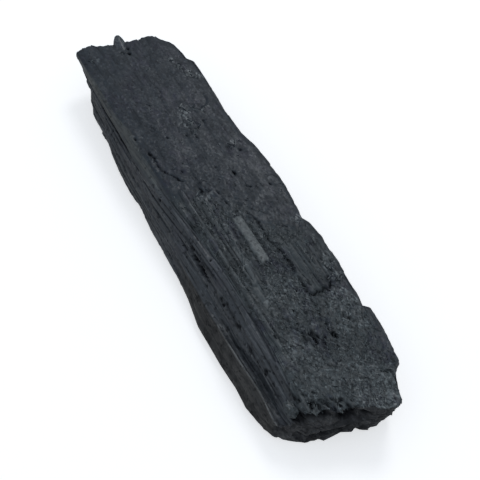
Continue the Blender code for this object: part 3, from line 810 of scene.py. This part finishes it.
def cap(rim, face):
    """Rings that close a broken end, drawn in towards the line through its middle."""
    left, right, height = CAP_SPINE
    off_face = rim[:, 0] - face(rim[:, 1], rim[:, 2])
    rings = []
    for number in range(1, CAP_RINGS + 1):
        share = (number / (CAP_RINGS + 0.4)) ** 0.9
        y = rim[:, 1] + (np.clip(rim[:, 1], left, right) - rim[:, 1]) * share
        z = rim[:, 2] + (height - rim[:, 2]) * share
        x = face(y, z) + off_face * smooth_step(0.25, 0.0, share)
        rings.append(np.stack([x, y, z], -1))
    return rings


def broken_in(rings, smooth_face):
    """How far each point of a broken end lies in from the smooth end, as a share from 0 to 1."""
    x, y, z = np.concatenate(rings).T
    return np.clip(np.abs(smooth_face(y, z)) - np.abs(x) - 0.2, 0, 1.0)


def grid_faces(rows, columns):
    """Four-sided faces between rows of points that each close on themselves."""
    index = np.arange(rows * columns).reshape(rows, columns)
    after = np.roll(index, -1, axis=1)
    return np.stack([index[:-1], index[1:], after[1:], after[:-1]], -1).reshape(-1, 4).tolist()


def closed_faces(rows, columns):
    """The same faces with one more over each end."""
    first, last = list(range(columns)), list(range((rows - 1) * columns, rows * columns))
    return grid_faces(rows, columns) + [first, last[::-1]]


def place_object(name, data):
    obj = bpy.data.objects.new(name, data)
    bpy.context.scene.collection.objects.link(obj)
    return obj


def new_mesh_object(name, points, faces):
    """A mesh from points in millimetres of the tables, moved over the origin and brought to metres."""
    shifted = (np.asarray(points) - [MIDDLE[0], MIDDLE[1], 0.0]) * MM
    data = bpy.data.meshes.new(name)
    data.from_pydata(shifted.tolist(), [], faces)
    data.validate()
    return place_object(name, data)


def set_mask(obj, name, values):
    attribute = obj.data.attributes.new(name, "FLOAT", "POINT")
    attribute.data.foreach_set("value", np.asarray(values, np.float32))


def build_skin():
    points, masks = skin_arrays()
    far, near = cap(points[0], far_face)[::-1], cap(points[-1], near_face)
    rows = far + list(points) + near
    skin = new_mesh_object("log_skin", np.concatenate(rows), closed_faces(len(rows), RING))
    # painted shade: the broken ends are darkened where they lie further in
    far_dark, near_dark = broken_in(far, far_break), broken_in(near, near_break)
    near_dark = np.maximum(near_dark, near_end_shade(*np.concatenate(near)[:, 1:].T))
    for name, values in masks.items():
        before = after = np.full(RING * CAP_RINGS, 1.0 if name == "end" else 0.0)
        if name == "hole":
            before, after = far_dark, near_dark
        set_mask(skin, name, np.concatenate([before, values.ravel(), after]))
    skin.data.shade_smooth()
    return skin


def spike_points():
    """Rings of the small pointed crystal that stands out over the far edge."""
    foot, tip = Vector(SPIKE_FOOT), Vector(SPIKE_TIP)
    turn = (tip - foot).to_track_quat("Z", "Y").to_matrix()
    rows = []
    for share in np.linspace(0, 1, SPIKE_RINGS):
        radius = SPIKE_TIP_RADIUS + (SPIKE_FOOT_RADIUS - SPIKE_TIP_RADIUS) * (1 - share) ** 0.7
        middle = foot.lerp(tip, float(share))
        ring = []
        for angle in 2 * np.pi * np.arange(SPIKE_SIDES) / SPIKE_SIDES:
            uneven = 0.06 * noise.noise((angle * 1.3, share * 2.0, 4.0))
            reach = radius * (1.0 - 0.10 * abs(np.sin(3.5 * angle)) + uneven)
            ring.append(middle + turn @ Vector((np.cos(angle) * reach, np.sin(angle) * reach, 0.0)))
        rows.append(ring)
    end = rows[-1]
    centre = sum(end, Vector()) / len(end)
    for share, rise in SPIKE_END:
        rows.append([centre.lerp(point, share) + (tip - foot).normalized() * rise for point in end])
    return rows


def build_spike():
    rows = spike_points()
    points = [list(point) for row in rows for point in row]
    spike = new_mesh_object("spike_crystal", points, closed_faces(len(rows), SPIKE_SIDES))
    turn_outwards(spike)
    set_mask(spike, "rough", np.ones(len(points)))
    set_mask(spike, "worn", np.repeat(np.linspace(0.1, 0.4, len(rows)), SPIKE_SIDES))
    spike.data.shade_smooth()
    return spike


def build_crumb():
    """The lump stuck on the near left corner of the top."""
    x, y, z, radius = CRUMB
    mesh = bmesh.new()
    bmesh.ops.create_icosphere(mesh, subdivisions=3, radius=1.0)
    points = []
    for vert in mesh.verts:
        place = vert.co.copy()
        size = 1 + 0.6 * noise.noise(place * 1.3) + 0.3 * noise.noise(place * 3.1)
        points.append(Vector((x, y, z)) + Vector((place.x * 1.3, place.y, place.z * 0.9)) * radius * size)
    faces = [[vert.index for vert in face.verts] for face in mesh.faces]
    mesh.free()
    crumb = new_mesh_object("corner_crumb", [list(point) for point in points], faces)
    set_mask(crumb, "rough", np.ones(len(points)))
    set_mask(crumb, "worn", np.full(len(points), 0.2))
    return crumb


def turn_outwards(obj):
    """Turns every face of a closed mesh outwards."""
    mesh = bmesh.new()
    mesh.from_mesh(obj.data)
    bmesh.ops.recalc_face_normals(mesh, faces=mesh.faces)
    mesh.to_mesh(obj.data)
    mesh.free()


# ---- materials --------------------------------------------------------------------------------


class Socket:
    """An output socket of a node tree that can be used in sums."""

    def __init__(self, tree, output):
        self.tree = tree
        self.output = output

    @classmethod
    def start(cls, tree, kind, settings=None, inputs=None, out=0):
        """A new node from its type, its settings and the values or links of its inputs."""
        node = tree.nodes.new(kind)
        for name, value in (settings or {}).items():
            setattr(node, name, value)
        for name, value in (inputs or {}).items():
            if isinstance(value, Socket):
                tree.links.new(value.output, node.inputs[name])
            else:
                node.inputs[name].default_value = value
        return cls(tree, node.outputs[out])

    def node(self, kind, settings=None, inputs=None, out=0):
        return Socket.start(self.tree, kind, settings, inputs, out)

    def math(self, operation, *values, clamp=False):
        settings = {"operation": operation, "use_clamp": clamp}
        return self.node("ShaderNodeMath", settings, dict(enumerate(values)))

    def __add__(self, other):
        if self.output.type == "VECTOR":
            return self.vector_math("ADD", other)
        return self.math("ADD", self, other)

    def __radd__(self, other):
        return self.math("ADD", other, self)

    def __sub__(self, other):
        return self.math("SUBTRACT", self, other)

    def __rsub__(self, other):
        return self.math("SUBTRACT", other, self)

    def __mul__(self, other):
        return self.math("MULTIPLY", self, other)

    def __rmul__(self, other):
        return self.math("MULTIPLY", other, self)

    def clipped(self):
        return self.math("ADD", self, 0.0, clamp=True)

    def between(self, low, high):
        """0 below low, 1 above high and smooth from one to the other."""
        inputs = {"Value": self, "From Min": low, "From Max": high}
        return self.node("ShaderNodeMapRange", {"interpolation_type": "SMOOTHSTEP"}, inputs)

    def blend(self, first, second):
        """The first colour where this is 0, the second where it is 1."""
        inputs = {0: self, 6: first, 7: second}
        return self.node("ShaderNodeMix", {"data_type": "RGBA"}, inputs, out=2)

    def scaled(self, x, y, z):
        """A vector with each of its sizes multiplied."""
        return self.vector_math("MULTIPLY", (x, y, z))

    def turned(self, angle):
        """A vector turned about Z."""
        inputs = {"Vector": self, "Angle": angle}
        return self.node("ShaderNodeVectorRotate", {"rotation_type": "Z_AXIS"}, inputs)

    def choose(self, first, second):
        """The first vector where this is 0, the second where it is 1."""
        inputs = {0: self, 4: first, 5: second}
        return self.node("ShaderNodeMix", {"data_type": "VECTOR"}, inputs, out=1)

    def vector_math(self, operation, *values):
        inputs = dict(enumerate((self, *values)))
        return self.node("ShaderNodeVectorMath", {"operation": operation}, inputs)

    def times(self, size):
        """A vector made longer by one number."""
        return self.node("ShaderNodeVectorMath", {"operation": "SCALE"}, {0: self, "Scale": size})

    def part(self, index):
        """One of a vector's three numbers."""
        return self.node("ShaderNodeSeparateXYZ", {}, {0: self}, out=index)

    def push(self, size):
        """A random colour as a vector that points any way, up to about half this size."""
        return self.vector_math("SUBTRACT", (0.5, 0.5, 0.5)).times(size)

    def noise(self, detail, roughness):
        """Smooth noise on this vector, one wave to each unit."""
        inputs = {"Vector": self, "Scale": 1.0, "Detail": detail, "Roughness": roughness}
        return self.node("ShaderNodeTexNoise", {}, inputs)

    def chips(self):
        """Three random numbers for each small cell of this vector's space."""
        inputs = {"Vector": self, "Scale": 1.0}
        return self.node("ShaderNodeTexVoronoi", {"feature": "F1"}, inputs, out=1)

    def seams(self):
        """How far a point is from the border of its small cell."""
        inputs = {"Vector": self, "Scale": 1.0}
        return self.node("ShaderNodeTexVoronoi", {"feature": "DISTANCE_TO_EDGE"}, inputs)


def colour(value):
    return (*value, 1.0)


BLUE_BLACK = colour((0.0080, 0.0165, 0.0262))
PURPLE_BLACK = colour((0.0110, 0.0140, 0.0310))
GREEN_BLACK = colour((0.0370, 0.0475, 0.0520))
BROWN_BLACK = colour((0.0225, 0.0232, 0.0240))
END_BROWN = colour((0.0460, 0.0460, 0.0480))
DEEP_BLACK = colour((0.0030, 0.0035, 0.0050))
PALE_GREY = colour((0.120, 0.136, 0.138))
STRIP_GREY = colour((0.098, 0.104, 0.098))
CREST_HIGHLIGHT_GREY = colour((0.130, 0.132, 0.128))
WEAR_AND_GLINT_GREY = colour((0.145, 0.165, 0.170))
SHEEN_GREY = colour((0.118, 0.123, 0.127))
PER_MM = 1 / MM
REFRACTION = 1.58
BUMP_DEPTH = 0.22 * MM
# the second, black finish carries the painted shade of holes, hollows and creases
SHADE_ROUGHNESS, SHADE_SHINE = 0.9, 0.12  # of the second finish, which shows wherever it is dark


def skin_patterns(tree):
    """What the finishes and the painted light and shade are mixed from: the skin's masks, and noises and
    cells in millimetres.
    """
    place = Socket.start(tree, "ShaderNodeTexCoord", out=3).scaled(PER_MM, PER_MM, PER_MM)
    p = SimpleNamespace(place=place)
    for name in FINISH_AND_LIGHT_MASKS:
        setattr(p, name, place.node("ShaderNodeAttribute", {"attribute_name": name}, out=2))
    p.columned = (p.flank + p.thread).clipped()
    p.broad = place.scaled(0.12, 0.20, 0.20).noise(3.0, 0.55)
    p.patches = place.scaled(0.45, 0.60, 0.60).noise(2.0, 0.6)
    p.grain = place.scaled(1.6, 2.0, 2.0).noise(3.0, 0.65)
    p.streaks = place.scaled(0.12, 1.7, 1.7).noise(3.0, 0.6)
    p.hairs = place.scaled(0.30, 8.0, 8.0).noise(1.0, 0.5)
    p.blotch = place.scaled(0.30, 0.62, 0.62).noise(3.0, 0.6)

    wander = place.scaled(0.10, 0.10, 0.10).noise(1.0, 0.5)
    columns = (place + wander.times(0.2)).scaled(0.055, 1.25, 1.25)
    side = place.scaled(0.7, 0.9, 0.9).noise(1.0, 0.5).between(0.48, 0.52)
    leaning = place.turned(0.55), place.turned(-0.6)
    needles = side.choose(leaning[0].scaled(1.0, 2.2, 2.2), leaning[1].scaled(1.1, 2.4, 2.4))
    blocks = p.columned.between(0.45, 0.55).choose(needles, columns)
    p.block, p.seam = blocks.chips(), blocks.seams()
    leaning = place.turned(0.5), place.turned(-0.7)
    p.scales = side.choose(leaning[0].scaled(0.55, 1.0, 1.0), leaning[1].scaled(0.6, 1.1, 1.1)).chips()
    p.crumb = place.scaled(1.9, 2.5, 2.5).chips()
    p.crumb_shade = p.crumb.part(0)
    return p


def glint_and_wear_share(p):
    """Painted glints where small faces of the grain catch the light, and the light spots of wear with
    their glints.
    """
    glints_and_wear = p.crumb_shade.between(0.84, 0.97) * (0.08 + 0.42 * p.felt + 0.10 * p.end)
    glints_and_wear = glints_and_wear * p.patches.between(0.40, 0.62)
    bright = 0.08 + 0.46 * p.rough + 1.2 * p.crumb_shade.between(0.5, 0.85)
    return glints_and_wear + p.worn * bright * p.grain.between(0.32, 0.55)


def body_colour(p, glints_and_wear):
    body = p.rough.blend(BLUE_BLACK, GREEN_BLACK)
    purple = p.broad.between(0.48, 0.62) * p.patches.between(0.40, 0.60) * 0.8
    body = purple.blend(body, PURPLE_BLACK)
    body = (p.flank * 0.65 * (1 - p.strip) + p.face * 0.35).clipped().blend(body, BROWN_BLACK)
    body = (p.end * 0.8).blend(body, END_BROWN)
    # painted glints and the lightening of wear, blended towards one pale grey
    body = glints_and_wear.clipped().blend(body, WEAR_AND_GLINT_GREY)
    # painted sheen: paler streaks along the fine columns, the flanks and the light strip, and on raised
    # relief
    painted_sheen = 0.16 * p.thread + 0.26 * p.flank * (1 - p.face) + 0.20 * p.strip
    painted_sheen = p.streaks.between(0.48, 0.70) * painted_sheen + 0.10 * p.lift
    body = painted_sheen.clipped().blend(body, SHEEN_GREY)
    # painted highlight along the ridge of the lower face and on the far corner of the top's left edge
    body = (p.crest * (0.25 + 0.6 * p.streaks)).clipped().blend(body, CREST_HIGHLIGHT_GREY)
    pale_strip = 0.25 + 0.35 * p.streaks.between(0.40, 0.60) + 0.35 * p.hairs.between(0.35, 0.65)
    body = (p.strip * pale_strip).blend(body, STRIP_GREY)
    body = (p.pale * (0.45 + 0.7 * p.streaks)).clipped().blend(body, PALE_GREY)
    # painted light: the flanks are brightened to stand in for the light they get from the side, the fine
    # columns a little, and the smooth lower face is darkened
    painted_flank_light = 0.95 * p.flank * (1 - p.face) * (1 - p.strip) + 0.12 * p.thread
    body = body.times(1 + painted_flank_light - 0.62 * p.face * (1 - p.crest))
    block_share = 0.35 + 0.25 * p.felt + 0.25 * p.columned
    cell = (0.55 + 0.9 * p.block.part(0)) * block_share + (0.60 + 0.8 * p.crumb_shade) * (1 - block_share)
    return body.times(cell * (1 + p.felt * (0.5 * p.scales.part(0) - 0.22)))


def darkness(p):
    """How far the second, black finish shows: painted shade in holes, hollows and creases, and dark gaps,
    specks and dull patches.
    """
    gap = p.seam.between(0.07, 0.015)
    gap = gap * (0.05 + 0.16 * p.felt + 0.22 * p.columned * p.patches.between(0.38, 0.62))
    gap = gap * (1 - 0.8 * p.face - 0.5 * p.strip)
    speck = p.crumb_shade.between(0.10, 0.03) * (0.10 + 0.25 * p.felt + 0.30 * p.flank + 0.12 * p.end)
    mould = p.end * p.patches.between(0.56, 0.40) * 0.35
    mould = mould + p.face * (1 - p.crest) * p.patches.between(0.54, 0.38) * 0.35
    smooth_top = (1 - p.flank) * (1 - p.end) * (1 - 0.85 * p.rough) * (1 - p.pale)
    cloud = smooth_top * (0.20 * p.blotch.between(0.56, 0.40) + 0.16 * p.streaks.between(0.52, 0.66))
    return 0.9 * p.hole + gap + speck + 0.4 * p.cavity + mould + cloud


def surface_normal(p):
    """Each small cell leans its own way, and the finer grain and striations lie over that."""
    lean = p.block.push(0.10 + 0.38 * p.felt + 0.30 * p.columned + 0.3 * p.end)
    lean = lean + p.crumb.push(0.10 + 0.22 * p.felt + 0.16 * p.flank + 0.14 * p.end)
    lean = lean + p.scales.push(0.26 * p.felt)
    facet = (p.place.node("ShaderNodeNewGeometry", out=1) + lean).vector_math("NORMALIZE")
    height = p.columned * (0.5 * p.streaks + 0.10 * p.hairs)
    height = height + p.grain * (0.12 + 0.35 * p.felt + 0.3 * p.end)
    inputs = {"Strength": 0.5, "Distance": BUMP_DEPTH, "Height": height, "Normal": facet}
    return p.place.node("ShaderNodeBump", {}, inputs)


def crystal_material():
    material = bpy.data.materials.new("black_tourmaline_skin")
    material.use_nodes = True
    tree = material.node_tree
    p = skin_patterns(tree)
    glints_and_wear, dark = glint_and_wear_share(p), darkness(p)
    gloss = 0.42 + 0.10 * p.felt + 0.08 * p.end + 0.20 * (p.grain - 0.5) - 0.12 * glints_and_wear + 0.35 * dark
    shader = tree.nodes["Principled BSDF"]
    shader.inputs["IOR"].default_value = REFRACTION
    tree.links.new(body_colour(p, glints_and_wear).output, shader.inputs["Base Color"])
    tree.links.new(gloss.clipped().output, shader.inputs["Roughness"])
    tree.links.new(surface_normal(p).output, shader.inputs["Normal"])
    hollow = tree.nodes.new("ShaderNodeBsdfPrincipled")
    hollow.inputs["Base Color"].default_value = DEEP_BLACK
    hollow.inputs["Roughness"].default_value = SHADE_ROUGHNESS
    hollow.inputs["Specular IOR Level"].default_value = SHADE_SHINE
    finishes = {1: Socket(tree, shader.outputs[0]), 2: Socket(tree, hollow.outputs[0])}
    mixed = dark.node("ShaderNodeMixShader", {}, {0: (dark * 0.85).clipped(), **finishes})
    tree.links.new(mixed.output, tree.nodes["Material Output"].inputs["Surface"])
    return material


# ---- splinters ---------------------------------------------------------------------------------


def splinter_tree(material):
    """A geometry tree that lays four-sided splinters over a surface, where one of its masks says."""
    tree = bpy.data.node_groups.new("splinters", "GeometryNodeTree")
    sockets = [("Surface", "Geometry"), ("Mask", "String"), ("Density", "Float"), ("Shortest", "Float")]
    sockets += [("Longest", "Float"), ("Width", "Float"), ("Spread", "Float"), ("Tilt", "Float")]
    sockets += [("Seed", "Int")]
    for name, kind in sockets:
        tree.interface.new_socket(name, in_out="INPUT", socket_type="NodeSocket" + kind)
    tree.interface.new_socket("Splinters", in_out="OUTPUT", socket_type="NodeSocketGeometry")
    given = tree.nodes.new("NodeGroupInput")
    surface, mask_name, density, shortest, longest, width, spread, tilt, seed = (
        Socket(tree, given.outputs[name]) for name, _ in sockets
    )

    def random(low, high, number):
        inputs = {2: low, 3: high, 8: seed + number}
        return seed.node("FunctionNodeRandomValue", {"data_type": "FLOAT"}, inputs, out=1)

    def attribute(name):
        return seed.node("GeometryNodeInputNamedAttribute", {"data_type": "FLOAT"}, {"Name": name})

    inputs = {"Mesh": surface, "Density": density * attribute(mask_name), "Seed": seed}
    spots = seed.node("GeometryNodeDistributePointsOnFaces", {}, inputs)
    turn = random(-1.0, 1.0, 1) * spread
    inputs = {0: turn.math("COSINE", turn), 1: turn.math("SINE", turn), 2: random(-1.0, 1.0, 2) * tilt}
    ahead = seed.node("ShaderNodeCombineXYZ", {}, inputs)
    roll = seed.node("ShaderNodeCombineXYZ", {}, {2: random(-0.5, 0.5, 3)})
    lying = seed.node("FunctionNodeAlignRotationToVector", {"axis": "Z"}, {"Vector": ahead})
    lying = seed.node("FunctionNodeRotateRotation", {"rotation_space": "LOCAL"}, {0: lying, 1: roll})
    thick = random(0.55, 1.0, 4) * width
    reach = shortest + (longest - shortest) * random(0.0, 1.0, 6)
    sizes = seed.node("ShaderNodeCombineXYZ", {}, {0: thick, 1: thick * random(0.5, 1.0, 5), 2: reach})
    prism = seed.node("GeometryNodeMeshCylinder", {}, {"Vertices": 4, "Radius": 0.5, "Depth": 1.0})
    inputs = {"Points": spots, "Instance": prism, "Rotation": lying, "Scale": sizes}
    laid = seed.node("GeometryNodeInstanceOnPoints", {}, inputs)
    # painted glints: a few splinters at random, and those on the light spots, are stored as paler
    share = random(0.0, 1.0, 7)
    worn = (share * share * share * 0.9 + attribute("worn") * 0.8).clipped()
    settings = {"data_type": "FLOAT", "domain": "INSTANCE"}
    inputs = {"Geometry": laid, "Name": "worn", "Value": worn}
    named = seed.node("GeometryNodeStoreNamedAttribute", settings, inputs)
    real = seed.node("GeometryNodeRealizeInstances", {}, {"Geometry": named})
    done = seed.node("GeometryNodeSetMaterial", {}, {"Geometry": real, "Material": material})
    result = tree.nodes.new("NodeGroupOutput")
    tree.links.new(done.output, result.inputs[0])
    return tree


def lay_splinters(name, skin, tree, sizes):
    """The splinters of one region of the skin, as a plain mesh of their own."""
    worker = place_object(name + "_worker", skin.data)
    modifier = worker.modifiers.new("splinters", "NODES")
    modifier.node_group = tree
    for socket in tree.interface.items_tree:
        if socket.in_out == "INPUT" and socket.name in sizes:
            modifier[socket.identifier] = sizes[socket.name]
    evaluated = worker.evaluated_get(bpy.context.evaluated_depsgraph_get())
    data = bpy.data.meshes.new_from_object(evaluated)
    worker.modifiers.remove(modifier)
    bpy.data.objects.remove(worker)
    return place_object(name, data)


# ---- studio -----------------------------------------------------------------------------------


def aim(obj, place, ahead, up):
    """Stands an object at a place with its -Z ahead and its Y up."""
    ahead, up = Vector(ahead).normalized(), Vector(up).normalized()
    side = ahead.cross(up).normalized()
    up = side.cross(ahead)
    turn = Matrix((side, up, -ahead)).transposed().to_4x4()
    obj.matrix_world = Matrix.Translation(place) @ turn


def add_camera():
    data = bpy.data.cameras.new("camera")
    data.lens = CAMERA_LENS
    data.sensor_width = CAMERA_SENSOR
    data.clip_start = CAMERA_NEAREST
    camera = place_object("camera", data)
    x, y, z = CAMERA_PLACE
    place = ((x - MIDDLE[0]) * MM, (y - MIDDLE[1]) * MM, z * MM)
    aim(camera, place, CAMERA_AHEAD, CAMERA_UP)
    bpy.context.scene.camera = camera


def add_key_light():
    data = bpy.data.lights.new("key", "AREA")
    data.shape = "DISK"
    data.size = KEY_SIZE
    data.energy = KEY_POWER
    aim(place_object("key", data), KEY_PLACE, -Vector(KEY_PLACE), (0.0, 0.0, 1.0))


def floor_material():
    material = bpy.data.materials.new("pale_floor")
    material.use_nodes = True
    shader = material.node_tree.nodes["Principled BSDF"]
    shader.inputs["Base Color"].default_value = (0.9, 0.9, 0.9, 1)
    shader.inputs["Roughness"].default_value = 1.0
    shader.inputs["Specular IOR Level"].default_value = 0.0
    shader.inputs["Emission Color"].default_value = (1, 1, 1, 1)
    shader.inputs["Emission Strength"].default_value = FLOOR_GLOW
    return material


def add_floor(material):
    data = bpy.data.meshes.new("floor")
    reach = FLOOR_REACH
    corner_points = [(-reach, -reach, 0), (reach, -reach, 0), (reach, reach, 0), (-reach, reach, 0)]
    data.from_pydata(corner_points, [], [(0, 1, 2, 3)])
    data.materials.append(material)
    floor = place_object("floor", data)
    floor.visible_glossy = False
    floor.visible_diffuse = False


def add_backdrop(material):
    """A round pale wall that curves up from the floor, far off all round."""
    steps = 48
    angles = np.linspace(0, 2 * np.pi, steps, endpoint=False)
    rows = []
    for rise in np.linspace(0, np.pi / 2, 9):
        radius = FLOOR_REACH * (0.72 + 0.24 * np.sin(rise))
        height = FLOOR_REACH * 0.24 * (1 - np.cos(rise)) - 0.001
        rows.append([(radius * np.cos(angle), radius * np.sin(angle), height) for angle in angles])
    rows.append([(x, y, FLOOR_REACH) for x, y, _ in rows[-1]])
    data = bpy.data.meshes.new("backdrop")
    data.from_pydata([point for row in rows for point in row], [], grid_faces(len(rows), steps))
    data.shade_smooth()
    data.materials.append(material)
    backdrop = place_object("backdrop", data)
    backdrop.visible_glossy = False
    backdrop.visible_diffuse = False
    backdrop.visible_shadow = False


def add_world():
    world = bpy.data.worlds.new("studio")
    bpy.context.scene.world = world
    world.use_nodes = True
    tree = world.node_tree
    background = tree.nodes["Background"]
    direction = Socket.start(tree, "ShaderNodeTexCoord", out=0)
    height = direction.part(2)
    sky = height.between(-0.5, 0.9).blend(SKY_LOW, SKY_HIGH)
    tree.links.new(sky.output, background.inputs["Color"])
    background.inputs["Strength"].default_value = 1.0


def main():
    material = crystal_material()
    skin = build_skin()
    pieces = [skin, build_spike(), build_crumb()]
    for piece in pieces:
        piece.data.materials.append(material)
    tree = splinter_tree(material)
    for name, sizes in SPLINTERS.items():
        pieces.append(lay_splinters(name, skin, tree, sizes))
    for piece in pieces:
        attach(piece, "root")
    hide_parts(NODE)
    floor = floor_material()
    add_floor(floor)
    add_backdrop(floor)
    add_world()
    add_key_light()
    add_camera()
    bpy.context.scene.view_settings.view_transform = "Standard"


main()
